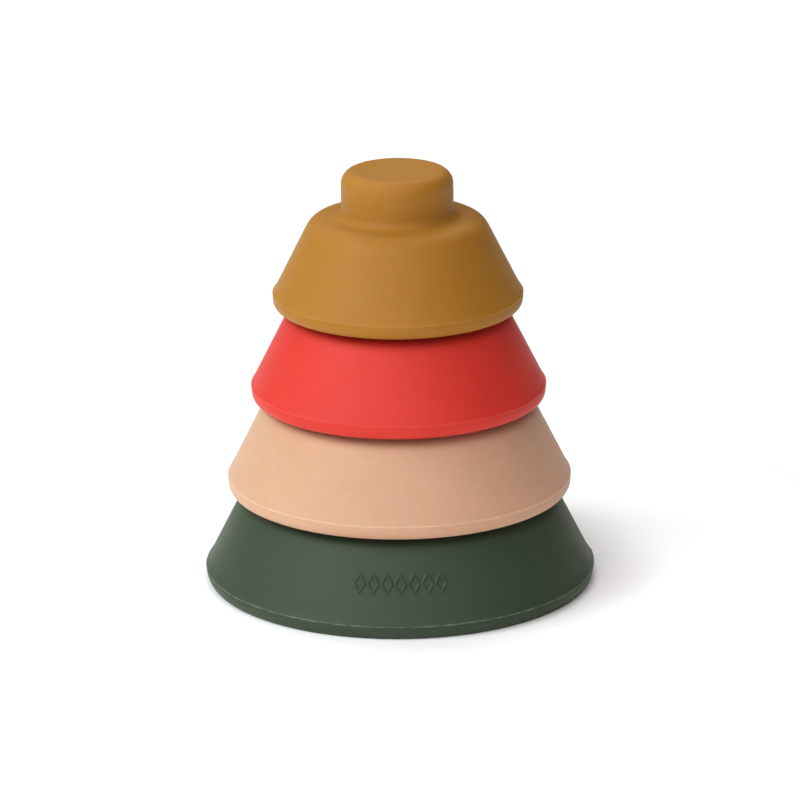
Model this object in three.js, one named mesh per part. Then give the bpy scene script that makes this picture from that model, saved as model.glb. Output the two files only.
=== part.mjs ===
// Stacking cup tower: four hollow silicone cups, upside down, each standing on the one below.
//
// Millimetres, +Z up. The origin is on the tower's axis, in the plane that the base cup rests on.
//
// Each cup is one moulding of the same section, and only its width differs: a conical skirt that ends in a
// blunt rim, a rounded shoulder, a hollow knob on top with a wide fillet round its foot, and a collar that hangs
// inside from the ceiling down to the plane of the rim. The collar fits round the knob of the cup below, and its
// rounded mouth stands on the fillet, so the cups lift straight off and go together in any order.

import * as THREE from 'three';

// The cups from the base up, each with its radius at the parting line, the widest line of the rim.
const CUPS = [
  { name: 'base_cup', partingRadius: 55, colour: 0x48543f },
  { name: 'second_cup', partingRadius: 48.5, colour: 0xdfb294 },
  { name: 'third_cup', partingRadius: 41.5, colour: 0xe44c43 },
  { name: 'top_cup', partingRadius: 35, colour: 0xb27d38 },
];

// Heights are above the cup's own rim.
const WALL = 3;

const PARTING_HEIGHT = 3.8;
const PARTING_LIP = 0.2; // how far the parting line stands out from the cone
const PARTING_LIP_HEIGHT = 0.4;
const RIM_INSET = 1.5; // from the parting line in to the flat edge of the rim
const RIM_CORNER = { inset: 0.2, height: 0.5 };
const RIM_WIDTH = 3;

const CONE_TAPER = 0.5; // radius lost for each millimetre of height
const CONE_TOP = 22;
const SHOULDER_HEIGHT = 26;
const SHOULDER_WIDTH = 6.4; // from the top of the cone in to the flat of the shoulder
const CEILING_CORNER = 2.4; // from the flat ceiling out to where its curve would meet the cone

const KNOB_RADIUS = 15.66;
const KNOB_TOP = 38.85;
const KNOB_EDGE_WIDTH = 3.66;
const KNOB_EDGE_HEIGHT = 3.92;
const KNOB_FILLET = 3;
const HOLLOW_CORNER = 2;

const SOCKET_CLEARANCE = 0.34; // between the collar and the knob inside it
const MOUTH_RADIUS = 1.6; // of the collar's mouth, which stands on the fillet of the knob below

const STACK_PITCH = 26.64; // leaves a gap of under 0.1 mm between the collar's mouth and that fillet

const SIDES = 48;
const CURVE_STEPS = 4;
const ROUND = 0.5523; // the reach of a curve's handles that makes a quarter of a circle or ellipse
const SHOULDER_REACH = { fromFlat: 0.65, fromCone: 0.8 };

// Rounds off a corner: a curve from the path's last point, towards the corner, to the end point.
function roundCorner(path, corner, end, startReach = ROUND, endReach = ROUND) {
  const handle = (point, reach) => [
    THREE.MathUtils.lerp(point.x, corner.x, reach),
    THREE.MathUtils.lerp(point.y, corner.y, reach),
  ];
  path.bezierCurveTo(...handle(path.currentPoint, startReach), ...handle(end, endReach), end.x, end.y);
}

// Half of a cup's section, from the top of the knob down the outside and back up the inside to the axis.
function cupSection(partingRadius) {
  const coneRadius = (height) => partingRadius - PARTING_LIP - CONE_TAPER * (height - PARTING_HEIGHT);
  const sidewaysWall = WALL * Math.hypot(1, CONE_TAPER);
  const rimInnerRadius = partingRadius - RIM_INSET - RIM_WIDTH;
  const innerConeRadius = (height) => coneRadius(height) - sidewaysWall;
  const innerConeStart = PARTING_HEIGHT
    + (partingRadius - PARTING_LIP - sidewaysWall - rimInnerRadius) / CONE_TAPER;
  const ceiling = SHOULDER_HEIGHT - WALL;
  const innerConeEnd = CONE_TOP - WALL * CONE_TAPER;
  const collarInnerRadius = KNOB_RADIUS + SOCKET_CLEARANCE;
  const collarOuterRadius = collarInnerRadius + WALL;
  const hollowRadius = KNOB_RADIUS - WALL;
  const hollowTop = KNOB_TOP - WALL;
  const point = (x, y) => new THREE.Vector2(x, y);
  const section = new THREE.Path();

  section.moveTo(0, KNOB_TOP);
  section.lineTo(KNOB_RADIUS - KNOB_EDGE_WIDTH, KNOB_TOP);
  roundCorner(section, point(KNOB_RADIUS, KNOB_TOP), point(KNOB_RADIUS, KNOB_TOP - KNOB_EDGE_HEIGHT));
  section.lineTo(KNOB_RADIUS, SHOULDER_HEIGHT + KNOB_FILLET);
  roundCorner(section, point(KNOB_RADIUS, SHOULDER_HEIGHT), point(KNOB_RADIUS + KNOB_FILLET, SHOULDER_HEIGHT));

  section.lineTo(coneRadius(CONE_TOP) - SHOULDER_WIDTH, SHOULDER_HEIGHT);
  roundCorner(section, point(coneRadius(SHOULDER_HEIGHT), SHOULDER_HEIGHT), point(coneRadius(CONE_TOP), CONE_TOP),
    SHOULDER_REACH.fromFlat, SHOULDER_REACH.fromCone);
  section.lineTo(coneRadius(PARTING_HEIGHT + PARTING_LIP_HEIGHT), PARTING_HEIGHT + PARTING_LIP_HEIGHT);
  section.lineTo(partingRadius, PARTING_HEIGHT);
  section.quadraticCurveTo(partingRadius - RIM_CORNER.inset, RIM_CORNER.height, partingRadius - RIM_INSET, 0);

  section.lineTo(rimInnerRadius, 0);
  section.lineTo(rimInnerRadius, innerConeStart);
  section.lineTo(innerConeRadius(innerConeEnd), innerConeEnd);
  roundCorner(section, point(innerConeRadius(ceiling), ceiling),
    point(innerConeRadius(ceiling) - CEILING_CORNER, ceiling));

  section.lineTo(collarOuterRadius, ceiling);
  section.lineTo(collarOuterRadius, 0);
  section.lineTo(collarInnerRadius + MOUTH_RADIUS, 0);
  roundCorner(section, point(collarInnerRadius, 0), point(collarInnerRadius, MOUTH_RADIUS));
  section.lineTo(collarInnerRadius, ceiling);
  section.lineTo(hollowRadius, ceiling);
  section.lineTo(hollowRadius, hollowTop - HOLLOW_CORNER);
  roundCorner(section, point(hollowRadius, hollowTop), point(hollowRadius - HOLLOW_CORNER, hollowTop));
  section.lineTo(0, hollowTop);
  return section.getPoints(CURVE_STEPS);
}

function makeCup({ name, partingRadius, colour }) {
  const geometry = new THREE.LatheGeometry(cupSection(partingRadius).reverse(), SIDES);
  geometry.rotateX(Math.PI / 2);
  const silicone = new THREE.MeshStandardMaterial({ color: colour, roughness: 0.6, metalness: 0 });
  const cup = new THREE.Mesh(geometry, silicone);
  cup.name = name;
  return cup;
}

const tower = new THREE.Group();
CUPS.forEach((dimensions, storey) => {
  const cup = makeCup(dimensions);
  cup.position.z = storey * STACK_PITCH;
  tower.add(cup);
});

export default tower;
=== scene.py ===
"""The looks of a stacking cup tower: four matt silicone cups, each lathed fine around its CAD body.

Lengths are in millimetres in everything that draws a cup's section and the pattern on it. They are in metres
in the materials, the floor, the lights and the camera's place.
"""
import math

import bpy
import numpy as np
from mathutils import Matrix, Vector


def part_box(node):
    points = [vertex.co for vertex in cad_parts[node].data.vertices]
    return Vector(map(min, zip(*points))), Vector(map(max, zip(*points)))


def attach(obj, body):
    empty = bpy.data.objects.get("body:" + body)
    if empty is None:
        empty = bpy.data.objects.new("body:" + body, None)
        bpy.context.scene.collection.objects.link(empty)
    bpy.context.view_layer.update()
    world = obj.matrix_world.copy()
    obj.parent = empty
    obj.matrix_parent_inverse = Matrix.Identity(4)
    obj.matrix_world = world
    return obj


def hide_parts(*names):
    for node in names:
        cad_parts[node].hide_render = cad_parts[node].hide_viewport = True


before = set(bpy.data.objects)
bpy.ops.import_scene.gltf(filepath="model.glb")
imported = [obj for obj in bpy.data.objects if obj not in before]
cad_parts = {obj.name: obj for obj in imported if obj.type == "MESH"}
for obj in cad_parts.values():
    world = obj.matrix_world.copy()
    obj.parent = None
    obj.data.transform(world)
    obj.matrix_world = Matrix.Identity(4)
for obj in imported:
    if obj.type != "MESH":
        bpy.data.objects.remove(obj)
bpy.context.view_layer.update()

MM = 0.001

# One cup's section. Heights are above the cup's own rim.
WALL = 3.0
PARTING_HEIGHT = 3.8
PARTING_LIP = 0.2        # how far the parting line stands out from the cone
RIM_INSET = 1.5          # how far inside the parting line the rim's flat edge starts
RIM_WIDTH = 3.0
RIM_CORNER_HEIGHT = 0.5  # height at which the rounded lower corner of the rim would come to a point
GROOVE_HEIGHT = 0.9      # the groove under the flash fades out over this height, downwards
CONE_TAPER = 0.5
CONE_TOP = 22.0
FLARE_HEIGHT = 3.0       # the skirt turns out a little over this height, above the parting line
SHOULDER_HEIGHT = 25.6   # a little lower than in the solids, as the photo's outline has it
SHOULDER_WIDTH = 6.4
CEILING_CORNER = 2.4
KNOB_RADIUS = 15.66
KNOB_TOP = 38.85
KNOB_EDGE_WIDTH = 3.66
KNOB_EDGE_HEIGHT = 3.92
KNOB_FILLET = 3.0
HOLLOW_CORNER = 2.0
SOCKET_CLEARANCE = 0.34
MOUTH_RADIUS = 1.6       # radius of the collar's mouth, which sits over the fillet of the knob below
EDGE_ROUND = 0.35        # the small radius left on the inner edges of the rim, the collar and the hollow

# Each cup's own rim, from the lowest cup up:
#   flare       how far the skirt turns out above the parting line
#   corner      where the rounded lower corner would come to a point, out from the parting radius
#   flash       how far the thin flash at the parting line stands out
#   flash_half  half the height of the flash
#   groove      the depth of the groove under it
RIMS = {
    "base_cup": {"flare": 0.2, "corner": -0.35, "flash": 0.12, "flash_half": 0.16, "groove": 0.12},
    "second_cup": {"flare": 0.12, "corner": -0.08, "flash": 0.1, "flash_half": 0.28, "groove": 0.07},
    "third_cup": {"flare": 0.12, "corner": -0.12, "flash": 0.07, "flash_half": 0.2, "groove": 0.06},
    "top_cup": {"flare": 0.25, "corner": 0.05, "flash": 0.06, "flash_half": 0.26, "groove": 0.06},
}

# The unevenness of the flash, round the cup. A span is a share of the flash's half height: what lies nearer
# to the parting line than that is moved.
CREST_UNEVEN = 0.5       # how much of the reach of its crest comes and goes
CREST_SPAN = 0.5
FLASH_WAVER = 0.05       # how far the flash wanders up and down
FLASH_SPAN = 1.5
WAVES = (7, 16, 31, 57)  # how many waves round the cup each part of an uneven curve has
WAVE_SIZES = (0.5, 1.0)  # the least and the most that one of those parts weighs
WAVER_SEED = 10          # added to a cup's number for the second of its two uneven curves

# How far the two handles of a curved corner reach from its ends towards the point it rounds off.
QUARTER = (0.5523, 0.5523)   # near enough a quarter of a circle
SHOULDER_REACH = (0.65, 0.8)
GROOVE_REACH = (0.6, 0.2)
RIM_REACH = (0.8, 0.7)

# The mesh: the spacing along straight stretches of the section, the pieces in each of its curves, and the
# stations round a cup.
PLAIN_STEP = 1.5
CLOSE_STEP = 1.0
MOUTH_STEP = 0.5
FLASH_STEP = 0.1
EDGE_PIECES = 4
GROOVE_PIECES = 6
HOLLOW_PIECES = 8
CEILING_PIECES = 10
FLARE_PIECES = 10
ROUND_PIECES = 14
SHOULDER_PIECES = 18
RINGS = 384

# The raised pattern on the front of the base cup: a row of outline diamonds.
MARKED_CUP = "base_cup"
MARK_HEIGHT = 14.4       # height of its middle above the rim
MARK_DIAMONDS = 7
DIAMOND_PITCH = 3.75
DIAMOND_WIDTH = 3.1
DIAMOND_HEIGHT = 5.2
MARK_RISE = 0.42
MARK_LINE = 0.34         # width of a raised line
MARK_SOFT = 0.2          # width of the slope on each side of a line
MARK_STEP = 0.11         # spacing of the mesh under the pattern
MARK_MARGIN = 1.0        # the mesh stays this fine beyond each end of the row


# ---------------------------------------------------------------------------------------- a cup's section

class Outline:
    """A chain of (radius, height) points, joined by straight and curved stretches."""

    def __init__(self, radius, height):
        self.points = [(radius, height)]

    def line_to(self, radius, height, step):
        """A straight stretch, in even pieces no longer than step."""
        start = np.array(self.points[-1])
        end = np.array((radius, height))
        pieces = max(1, math.ceil(np.linalg.norm(end - start) / step))
        for i in range(1, pieces + 1):
            self.points.append(tuple(start + (end - start) * i / pieces))

    def corner_to(self, corner, end, pieces, reach=QUARTER):
        """A curved stretch to the end, which rounds off the given corner."""
        start = np.array(self.points[-1])
        corner = np.array(corner)
        end = np.array(end)
        first = start + (corner - start) * reach[0]
        second = end + (corner - end) * reach[1]
        for i in range(1, pieces + 1):
            t = i / pieces
            point = (1 - t) ** 3 * start + 3 * t * (1 - t) ** 2 * first
            point = point + 3 * t ** 2 * (1 - t) * second + t ** 3 * end
            self.points.append(tuple(point))


def cone_radius(parting_radius, height):
    """Radius of the plain cone outside a cup's wall."""
    return parting_radius - PARTING_LIP - CONE_TAPER * (height - PARTING_HEIGHT)


def skirt_radius(parting_radius, rim, height):
    """Radius of the skirt: the plain cone, turned out a little just above the parting line."""
    flare = max(0.0, 1 - (height - PARTING_HEIGHT) / FLARE_HEIGHT)
    return cone_radius(parting_radius, height) + rim["flare"] * flare ** 3


def draw_knob(path):
    """From the middle of the knob's top down to the flat of the shoulder."""
    path.line_to(KNOB_RADIUS - KNOB_EDGE_WIDTH, KNOB_TOP, PLAIN_STEP)
    path.corner_to((KNOB_RADIUS, KNOB_TOP), (KNOB_RADIUS, KNOB_TOP - KNOB_EDGE_HEIGHT), ROUND_PIECES)
    path.line_to(KNOB_RADIUS, SHOULDER_HEIGHT + KNOB_FILLET, CLOSE_STEP)
    foot = (KNOB_RADIUS, SHOULDER_HEIGHT)
    path.corner_to(foot, (KNOB_RADIUS + KNOB_FILLET, SHOULDER_HEIGHT), ROUND_PIECES)


def draw_skirt(path, parting_radius, rim, cone_step):
    """From the flat of the shoulder down the cone to the top of the flash."""
    cone_top = (cone_radius(parting_radius, CONE_TOP), CONE_TOP)
    shoulder = (cone_radius(parting_radius, SHOULDER_HEIGHT), SHOULDER_HEIGHT)
    path.line_to(cone_top[0] - SHOULDER_WIDTH, SHOULDER_HEIGHT, PLAIN_STEP)
    path.corner_to(shoulder, cone_top, SHOULDER_PIECES, SHOULDER_REACH)
    flare_top = PARTING_HEIGHT + FLARE_HEIGHT
    flash_top = PARTING_HEIGHT + rim["flash_half"]
    path.line_to(cone_radius(parting_radius, flare_top), flare_top, cone_step)
    for i in range(1, FLARE_PIECES + 1):
        height = flare_top + (flash_top - flare_top) * i / FLARE_PIECES
        path.points.append((skirt_radius(parting_radius, rim, height), height))


def draw_rim(path, parting_radius, rim):
    """From the top of the flash out to its crest, in to the groove and down to the flat edge of the rim."""
    foot = skirt_radius(parting_radius, rim, PARTING_HEIGHT)
    groove_bottom = PARTING_HEIGHT - GROOVE_HEIGHT
    lower_corner = (parting_radius + rim["corner"], RIM_CORNER_HEIGHT)
    path.line_to(foot + rim["flash"], PARTING_HEIGHT, FLASH_STEP)
    path.line_to(foot - rim["groove"], PARTING_HEIGHT - rim["flash_half"] / 2, FLASH_STEP)
    groove_corner = (foot - rim["groove"] / 2, groove_bottom)
    path.corner_to(groove_corner, (foot, groove_bottom), GROOVE_PIECES, GROOVE_REACH)
    path.corner_to(lower_corner, (parting_radius - RIM_INSET, 0), ROUND_PIECES, RIM_REACH)


def draw_inner_wall(path, parting_radius):
    """From the flat edge of the rim up the inside of the skirt to the ceiling."""
    wall_across = WALL * math.hypot(1, CONE_TAPER)
    rim_inner = parting_radius - RIM_INSET - RIM_WIDTH
    cone_start = PARTING_HEIGHT + (parting_radius - PARTING_LIP - wall_across - rim_inner) / CONE_TAPER
    cone_end = CONE_TOP - WALL * CONE_TAPER
    ceiling = SHOULDER_HEIGHT - WALL
    corner = cone_radius(parting_radius, ceiling) - wall_across
    path.line_to(rim_inner + EDGE_ROUND, 0, CLOSE_STEP)
    path.corner_to((rim_inner, 0), (rim_inner, EDGE_ROUND), EDGE_PIECES)
    path.line_to(rim_inner, cone_start, PLAIN_STEP)
    path.line_to(cone_radius(parting_radius, cone_end) - wall_across, cone_end, PLAIN_STEP)
    path.corner_to((corner, ceiling), (corner - CEILING_CORNER, ceiling), CEILING_PIECES)


def draw_collar(path):
    """From the ceiling down the outside of the collar, round its mouth and up its bore."""
    ceiling = SHOULDER_HEIGHT - WALL
    bore = KNOB_RADIUS + SOCKET_CLEARANCE
    outside = bore + WALL
    path.line_to(outside + EDGE_ROUND, ceiling, PLAIN_STEP)
    path.corner_to((outside, ceiling), (outside, ceiling - EDGE_ROUND), EDGE_PIECES)
    path.line_to(outside, EDGE_ROUND, PLAIN_STEP)
    path.corner_to((outside, 0), (outside - EDGE_ROUND, 0), EDGE_PIECES)
    path.line_to(bore + MOUTH_RADIUS, 0, MOUTH_STEP)
    path.corner_to((bore, 0), (bore, MOUTH_RADIUS), HOLLOW_PIECES)
    path.line_to(bore, ceiling - EDGE_ROUND, PLAIN_STEP)
    path.corner_to((bore, ceiling), (bore - EDGE_ROUND, ceiling), EDGE_PIECES)


def draw_hollow(path):
    """From the top of the collar's bore up the inside of the knob to its middle."""
    ceiling = SHOULDER_HEIGHT - WALL
    radius = KNOB_RADIUS - WALL
    top = KNOB_TOP - WALL
    path.line_to(radius + EDGE_ROUND, ceiling, CLOSE_STEP)
    path.corner_to((radius, ceiling), (radius, ceiling + EDGE_ROUND), EDGE_PIECES)
    path.line_to(radius, top - HOLLOW_CORNER, PLAIN_STEP)
    path.corner_to((radius, top), (radius - HOLLOW_CORNER, top), HOLLOW_PIECES)
    path.line_to(0, top, PLAIN_STEP)


def cup_section(parting_radius, rim, cone_step):
    """Half a cup's section, from the top of the knob down the outside and back up the inside."""
    path = Outline(0, KNOB_TOP)
    draw_knob(path)
    draw_skirt(path, parting_radius, rim, cone_step)
    draw_rim(path, parting_radius, rim)
    draw_inner_wall(path, parting_radius)
    draw_collar(path)
    draw_hollow(path)
    return np.array(path.points)


def section_normals(section):
    """Outward unit normals of the section, as (radius, height) pairs."""
    tangent = np.gradient(section, axis=0)
    normal = np.stack([-tangent[:, 1], tangent[:, 0]], axis=1)
    return normal / np.linalg.norm(normal, axis=1)[:, None]


def outside_points(section):
    """Which points of the section are on the outside of the cup: those before its lowest."""
    return np.arange(len(section)) < np.argmin(section[:, 1])


# ------------------------------------------------------------------- the pattern, the flash and the mesh

def diamond_segments():
    """The raised lines of the pattern, as pairs of points in the unrolled front of the cone."""
    segments = []
    for k in range(MARK_DIAMONDS):
        middle = (k - (MARK_DIAMONDS - 1) / 2) * DIAMOND_PITCH
        corners = [
            (middle, DIAMOND_HEIGHT / 2),
            (middle + DIAMOND_WIDTH / 2, 0),
            (middle, -DIAMOND_HEIGHT / 2),
            (middle - DIAMOND_WIDTH / 2, 0),
        ]
        for i, corner in enumerate(corners):
            segments.append((corner, corners[(i + 1) % len(corners)]))
    return segments


def mark_rise(across, up):
    """How far the pattern stands out at each point of the unrolled cone."""
    nearest = np.full(across.shape, np.inf)
    for start, end in diamond_segments():
        length = math.dist(start, end)
        direction = ((end[0] - start[0]) / length, (end[1] - start[1]) / length)
        along = (across - start[0]) * direction[0] + (up - start[1]) * direction[1]
        along = np.clip(along, 0, length)
        gap = np.hypot(across - start[0] - along * direction[0], up - start[1] - along * direction[1])
        nearest = np.minimum(nearest, gap)
    t = np.clip((nearest - MARK_LINE / 2) / MARK_SOFT, 0, 1)
    return MARK_RISE * (1 - t * t * (3 - 2 * t))


def mark_relief(section, angles, mark_radius):
    """How far the pattern moves each point of the section outwards, at each angle."""
    slant = (section[:, 1] - MARK_HEIGHT) * math.hypot(1, CONE_TAPER)
    across, up = np.meshgrid(angles * mark_radius, slant)
    return mark_rise(across, up) * outside_points(section)[:, None]


def waver(angles, seed):
    """A smooth, uneven curve round the cup, from about -1 to 1."""
    dice = np.random.default_rng(seed)
    total = np.zeros(len(angles))
    for wave in WAVES:
        total += dice.uniform(*WAVE_SIZES) * np.sin(wave * angles + dice.uniform(0, 2 * math.pi))
    return total / math.sqrt(len(WAVES))


def flash_relief(section, rim, angles, storey):
    """How far the uneven flash moves each point of the section outwards and upwards, at each angle."""
    off_line = np.abs(section[:, 1] - PARTING_HEIGHT)
    crest = outside_points(section) & (off_line < CREST_SPAN * rim["flash_half"])
    flash = outside_points(section) & (off_line < FLASH_SPAN * rim["flash_half"])
    push = np.outer(crest * rim["flash"] * CREST_UNEVEN, waver(angles, storey))
    shift = np.outer(flash * FLASH_WAVER, waver(angles, storey + WAVER_SEED))
    return push, shift


def even_angles():
    """Angles round the axis, evenly spaced."""
    return np.linspace(-math.pi, math.pi, RINGS, endpoint=False)


def marked_angles(mark_radius):
    """Angles round the axis, from the front (-Y), fine across the pattern and even elsewhere."""
    half_angle = (MARK_DIAMONDS * DIAMOND_PITCH / 2 + MARK_MARGIN) / mark_radius
    fine = np.arange(-half_angle, half_angle, MARK_STEP / mark_radius)
    rest = 2 * math.pi - 2 * half_angle
    count = round(RINGS * rest / (2 * math.pi))
    return np.concatenate([fine, half_angle + rest * np.arange(count) / count])


def lathe(name, section, angles, push, shift):
    """A closed mesh: the section turned about the axis.

    push and shift say how far each point of the section moves outwards and upwards, at each angle.
    """
    normals = section_normals(section)[1:-1]
    inner = section[1:-1]
    count = len(angles)
    radius = inner[:, :1] + normals[:, :1] * push[1:-1]
    height = inner[:, 1:] + normals[:, 1:] * push[1:-1] + shift[1:-1]
    x = radius * np.sin(angles)
    y = -radius * np.cos(angles)
    rings = np.stack([x, y, height], axis=-1).reshape(-1, 3)
    poles = np.array([[0, 0, section[0][1]], [0, 0, section[-1][1]]])
    vertices = np.concatenate([rings, poles]) * MM
    faces = []
    last = len(inner) - 1
    for j in range(count):
        k = (j + 1) % count
        for i in range(last):
            a = i * count
            b = a + count
            faces.append((a + j, b + j, b + k, a + k))
        faces.append((len(rings), j, k))
        faces.append((len(rings) + 1, last * count + k, last * count + j))
    mesh = bpy.data.meshes.new(name)
    mesh.from_pydata(vertices.tolist(), [], faces)
    mesh.shade_smooth()
    mesh.update()
    piece = bpy.data.objects.new(name, mesh)
    bpy.context.scene.collection.objects.link(piece)
    return piece


# ---------------------------------------------------------------------------------------------- materials

def srgb(red, green, blue):
    """An 8-bit sRGB colour as linear numbers."""
    def linear(value):
        part = value / 255
        return part / 12.92 if part <= 0.04045 else ((part + 0.055) / 1.055) ** 2.4
    return tuple(linear(value) for value in (red, green, blue))


# What all the silicones have in common, by the names of the shader's own sockets.
SILICONE = {
    "IOR": 1.42,
    "Specular IOR Level": 0.35,
    "Sheen Weight": 0.08,
    "Sheen Roughness": 0.4,
    "Subsurface Radius": (1.0, 0.35, 0.2),
    "Subsurface Scale": 0.003,
}
# Each cup's silicone:
#   rubber                 its colour
#   sheen                  the tint of its sheen
#   scatter                how much of the light scatters inside it
#   flash                  a paler colour painted along its parting line: a painted highlight on the flash
#   flash_highlight_fade   how far from the line that painted highlight has faded out
#   flash_highlight_least  how much of the painted highlight shows where the line is broken
LOOKS = {
    "base_cup": {
        "rubber": srgb(53, 66, 48),
        "sheen": (0.9, 1, 0.7),
        "scatter": 0.1,
        "flash": srgb(104, 118, 90),
        "flash_highlight_fade": 0.0003,
        "flash_highlight_least": 0.1,
    },
    "second_cup": {
        "rubber": srgb(198, 157, 128),
        "sheen": (1, 0.95, 0.85),
        "scatter": 0.6,
        "flash": srgb(211, 178, 150),
        "flash_highlight_fade": 0.00045,
        "flash_highlight_least": 0.4,
    },
    "third_cup": {
        "rubber": srgb(203, 50, 39),
        "sheen": (1, 0.7, 0.65),
        "scatter": 0.6,
        "flash": srgb(209, 64, 52),
        "flash_highlight_fade": 0.0003,
        "flash_highlight_least": 0.3,
    },
    "top_cup": {
        "rubber": srgb(159, 107, 28),
        "sheen": (1, 0.9, 0.6),
        "scatter": 0.35,
        "flash": srgb(168, 117, 38),
        "flash_highlight_fade": 0.0004,
        "flash_highlight_least": 0.3,
    },
}
FLASH_HIGHLIGHT_CORE = 0.0001      # the painted highlight on the flash keeps its full colour this far above and below the parting line
NOISE_SPAN = (0.3, 0.7)  # nearly all the values of Blender's noise lie between these


def node_tools(material):
    """A way to add a node with its settings, and the tree's own way to link two sockets."""
    tree = material.node_tree

    def add(kind, **settings):
        node = tree.nodes.new(kind)
        for key, value in settings.items():
            if hasattr(node, key):
                setattr(node, key, value)
            else:
                node.inputs[key].default_value = value
        return node

    return add, tree.links.new


def ramp(add, link, value, span, ends, shape="SMOOTHSTEP"):
    """A step from the first end to the second, as the value crosses the span."""
    step = add("ShaderNodeMapRange", interpolation_type=shape)
    step.inputs["From Min"].default_value = span[0]
    step.inputs["From Max"].default_value = span[1]
    step.inputs["To Min"].default_value = ends[0]
    step.inputs["To Max"].default_value = ends[1]
    link(value, step.inputs["Value"])
    return step.outputs["Result"]


def noise(add, link, place, scale, detail):
    """Noise of the given scale, per metre."""
    cloud = add("ShaderNodeTexNoise", Scale=scale, Detail=detail)
    link(place, cloud.inputs["Vector"])
    return cloud.outputs["Fac"]


def noise_range(add, link, place, scale, detail, ends):
    """Noise stretched to run from one end to the other."""
    return ramp(add, link, noise(add, link, place, scale, detail), NOISE_SPAN, ends, shape="LINEAR")


def multiply(add, link, first, second):
    node = add("ShaderNodeMath", operation="MULTIPLY")
    link(first, node.inputs[0])
    link(second, node.inputs[1])
    return node.outputs["Value"]


def colour_value(add, link, place):
    """How light the rubber is from place to place: broad clouds, fine mottling and faint wipe marks."""
    clouds = noise_range(add, link, place, scale=26, detail=2, ends=(0.965, 1.035))
    mottling = noise_range(add, link, place, scale=380, detail=3, ends=(0.985, 1.015))
    stretched = add("ShaderNodeMapping", Scale=(1, 1, 9))
    link(place, stretched.inputs["Vector"])
    wipes = noise_range(add, link, stretched.outputs["Vector"], scale=55, detail=4, ends=(0.985, 1.015))
    return multiply(add, link, multiply(add, link, clouds, mottling), wipes)


def flash_highlight_mask(add, link, place, line_height, look):
    """1 on the thin, broken line of painted highlight along the flash at the parting line, and 0 elsewhere.
    """
    axes = add("ShaderNodeSeparateXYZ")
    link(place, axes.inputs["Vector"])
    drop = add("ShaderNodeMath", operation="SUBTRACT")
    drop.inputs[1].default_value = line_height
    link(axes.outputs["Z"], drop.inputs[0])
    distance = add("ShaderNodeMath", operation="ABSOLUTE")
    link(drop.outputs["Value"], distance.inputs[0])
    near = ramp(add, link, distance.outputs["Value"], (FLASH_HIGHLIGHT_CORE, look["flash_highlight_fade"]), (1, 0))
    breaks = noise_range(add, link, place, scale=420, detail=5, ends=(look["flash_highlight_least"], 1))
    return multiply(add, link, near, breaks)


def grain_normal(add, link, place):
    """The fine blasted texture of the mould, and the slow unevenness of a soft moulding."""
    uneven = add("ShaderNodeBump", Strength=0.5, Distance=0.0001)
    link(noise(add, link, place, scale=70, detail=1), uneven.inputs["Height"])
    grain = add("ShaderNodeBump", Strength=0.35, Distance=0.00003)
    link(noise(add, link, place, scale=2300, detail=3), grain.inputs["Height"])
    link(uneven.outputs["Normal"], grain.inputs["Normal"])
    return grain.outputs["Normal"]


def silicone(name, look, line_height):
    """Matt moulded silicone: powdery sheen, blasted grain, clouded colour and a paler line painted along the
    flash as its highlight.
    """
    material = bpy.data.materials.new(name)
    material.use_nodes = True
    material.node_tree.nodes.clear()
    add, link = node_tools(material)
    output = add("ShaderNodeOutputMaterial")
    shader = add("ShaderNodeBsdfPrincipled")
    for socket, value in SILICONE.items():
        shader.inputs[socket].default_value = value
    shader.inputs["Sheen Tint"].default_value = (*look["sheen"], 1)
    shader.inputs["Subsurface Weight"].default_value = look["scatter"]
    place = add("ShaderNodeTexCoord").outputs["Object"]

    rubber = add("ShaderNodeHueSaturation")
    rubber.inputs["Color"].default_value = (*look["rubber"], 1)
    link(colour_value(add, link, place), rubber.inputs["Value"])
    flash_highlight_mix = add("ShaderNodeMix", data_type="RGBA")
    # A Mix node has sockets of the same names for numbers, vectors and colours. These are for colours.
    factor, plain, tint, mixed = flash_highlight_mix.inputs[0], flash_highlight_mix.inputs[6], flash_highlight_mix.inputs[7], flash_highlight_mix.outputs[2]
    # The flash colour is a painted highlight, laid along the parting line wherever the mask is 1.
    tint.default_value = (*look["flash"], 1)
    link(flash_highlight_mask(add, link, place, line_height, look), factor)
    link(rubber.outputs["Color"], plain)
    link(mixed, shader.inputs["Base Color"])
    link(noise_range(add, link, place, scale=90, detail=5, ends=(0.5, 0.62)), shader.inputs["Roughness"])
    link(grain_normal(add, link, place), shader.inputs["Normal"])
    link(shader.outputs["BSDF"], output.inputs["Surface"])
    return material


# ------------------------------------------------------------------------------------------------ the cups

def make_cup(storey, node):
    """One cup, as wide and as high up as its CAD body."""
    low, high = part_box(node)
    parting_radius = high.x / MM
    mark_radius = cone_radius(parting_radius, MARK_HEIGHT)
    marked = node == MARKED_CUP
    section = cup_section(parting_radius, RIMS[node], MARK_STEP if marked else CLOSE_STEP)
    angles = marked_angles(mark_radius) if marked else even_angles()
    push, shift = flash_relief(section, RIMS[node], angles, storey)
    if marked:
        push = push + mark_relief(section, angles, mark_radius)
    cup = lathe(node + "_moulding", section, angles, push, shift)
    cup.data.transform(Matrix.Translation((0, 0, low.z)))
    cup.data.materials.append(silicone("moulded_" + node, LOOKS[node], low.z + PARTING_HEIGHT * MM))
    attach(cup, node)
    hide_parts(node)


for cup_storey, cup_name in enumerate(RIMS):
    make_cup(cup_storey, cup_name)


# -------------------------------------------------------------------------------- floor, lights and camera

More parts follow.
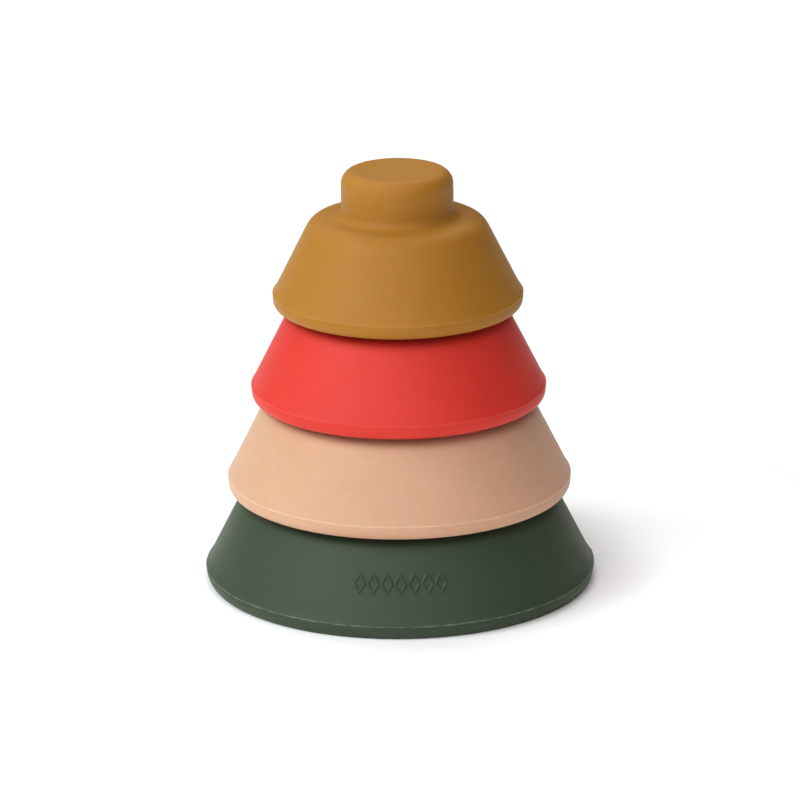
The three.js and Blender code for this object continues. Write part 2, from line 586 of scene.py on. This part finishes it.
# The table's glow, by distance from the tower's axis: it comes up round the tower, fades again, and comes
# back far away.
GLOW_RISE = (0.055, 0.084)
GLOW_FALL = (0.095, 0.15)
GLOW_RETURN = (0.2, 0.75)
NEAR_GLOW = 0.22
FAR_GLOW = 0.2
FLOOR_WHITE = (0.97, 0.97, 0.97, 1)
FLOOR_HALF = 3.0

COOL = (0.94, 1.02, 1.02)
PLAIN = (1, 1, 1)
WARM = (1.04, 0.97, 0.99)
# Each soft light's name, azimuth (0 is in front, positive to the right) and elevation in degrees, power in
# watts, and tint.
SOFT_LIGHTS = [
    ("key_left", -70, 41, 16.4, COOL),
    ("front_left", -29, 41, 8.9, PLAIN),
    ("low_front", -18, 8, 3.7, WARM),
    ("front_right", 22, 52, 7.4, WARM),
    ("top", 90, 80, 1.6, WARM),
    ("back_left", -131, 39, 4.0, COOL),
    ("back", 180, 57, 8.8, PLAIN),
]
LIGHT_DISTANCE = 1.6
LIGHT_SIZE = 1.0
LIGHT_TARGET = Vector((0, 0, 0.05))

CAMERA_PLACE = (0.00033, -1.3524, 0.4926)
CAMERA_DOWN = 18.062     # how far down it looks, in degrees
CAMERA_ROLL = -0.457
CAMERA_LENS = 227.35     # the focal length, in millimetres like the width of the sensor
CAMERA_SENSOR = 36
CAMERA_CLIP = 0.05


def make_floor():
    """A pale matt table, with a faint glow round the tower and far away that keeps it white."""
    material = bpy.data.materials.new("studio_floor")
    material.use_nodes = True
    shader = material.node_tree.nodes["Principled BSDF"]
    shader.inputs["Base Color"].default_value = FLOOR_WHITE
    shader.inputs["Roughness"].default_value = 0.7
    shader.inputs["Specular IOR Level"].default_value = 0.2
    shader.inputs["Emission Color"].default_value = (1, 1, 1, 1)
    add, link = node_tools(material)
    place = add("ShaderNodeTexCoord").outputs["Object"]
    length = add("ShaderNodeVectorMath", operation="LENGTH")
    link(place, length.inputs[0])
    distance = length.outputs["Value"]
    near = multiply(add, link, ramp(add, link, distance, GLOW_RISE, (0, NEAR_GLOW)),
                    ramp(add, link, distance, GLOW_FALL, (1, 0)))
    glow = add("ShaderNodeMath", operation="ADD")
    link(near, glow.inputs[0])
    link(ramp(add, link, distance, GLOW_RETURN, (0, FAR_GLOW)), glow.inputs[1])
    link(glow.outputs["Value"], shader.inputs["Emission Strength"])

    corners = [(x * FLOOR_HALF, y * FLOOR_HALF, 0) for x, y in ((-1, -1), (1, -1), (1, 1), (-1, 1))]
    mesh = bpy.data.meshes.new("studio_floor")
    mesh.from_pydata(corners, [], [(0, 1, 2, 3)])
    mesh.materials.append(material)
    floor = bpy.data.objects.new("studio_floor", mesh)
    bpy.context.scene.collection.objects.link(floor)


def make_area(name, azimuth, elevation, watts, tint):
    """A round softbox at the standard distance, facing the tower."""
    light = bpy.data.lights.new(name, "AREA")
    light.shape = "DISK"
    light.size = LIGHT_SIZE
    light.energy = watts
    light.color = tint
    lamp = bpy.data.objects.new(name, light)
    lamp.visible_camera = False
    bpy.context.scene.collection.objects.link(lamp)
    turn = math.radians(azimuth)
    rise = math.radians(elevation)
    away = Vector((math.sin(turn) * math.cos(rise), -math.cos(turn) * math.cos(rise), math.sin(rise)))
    lamp.location = LIGHT_TARGET + LIGHT_DISTANCE * away
    lamp.rotation_euler = away.to_track_quat("Z", "Y").to_euler()


def make_world():
    """A dark world: all the light comes from the soft lights and the table's glow."""
    world = bpy.data.worlds.new("studio")
    world.use_nodes = True
    world.node_tree.nodes["Background"].inputs["Strength"].default_value = 0
    bpy.context.scene.world = world


def make_camera():
    """The photograph's view: 18 degrees down through a long lens, rolled by half a degree."""
    camera = bpy.data.cameras.new("camera")
    camera.sensor_width = CAMERA_SENSOR
    camera.lens = CAMERA_LENS
    camera.clip_start = CAMERA_CLIP
    holder = bpy.data.objects.new("camera", camera)
    bpy.context.scene.collection.objects.link(holder)
    tilt = Matrix.Rotation(math.radians(90 - CAMERA_DOWN), 4, "X")
    roll = Matrix.Rotation(math.radians(CAMERA_ROLL), 4, "Z")
    holder.matrix_world = Matrix.Translation(CAMERA_PLACE) @ tilt @ roll
    bpy.context.scene.camera = holder


bpy.context.scene.view_settings.view_transform = "Standard"
make_floor()
make_world()
for soft_light in SOFT_LIGHTS:
    make_area(*soft_light)
make_camera()

bpy.context.view_layer.update()
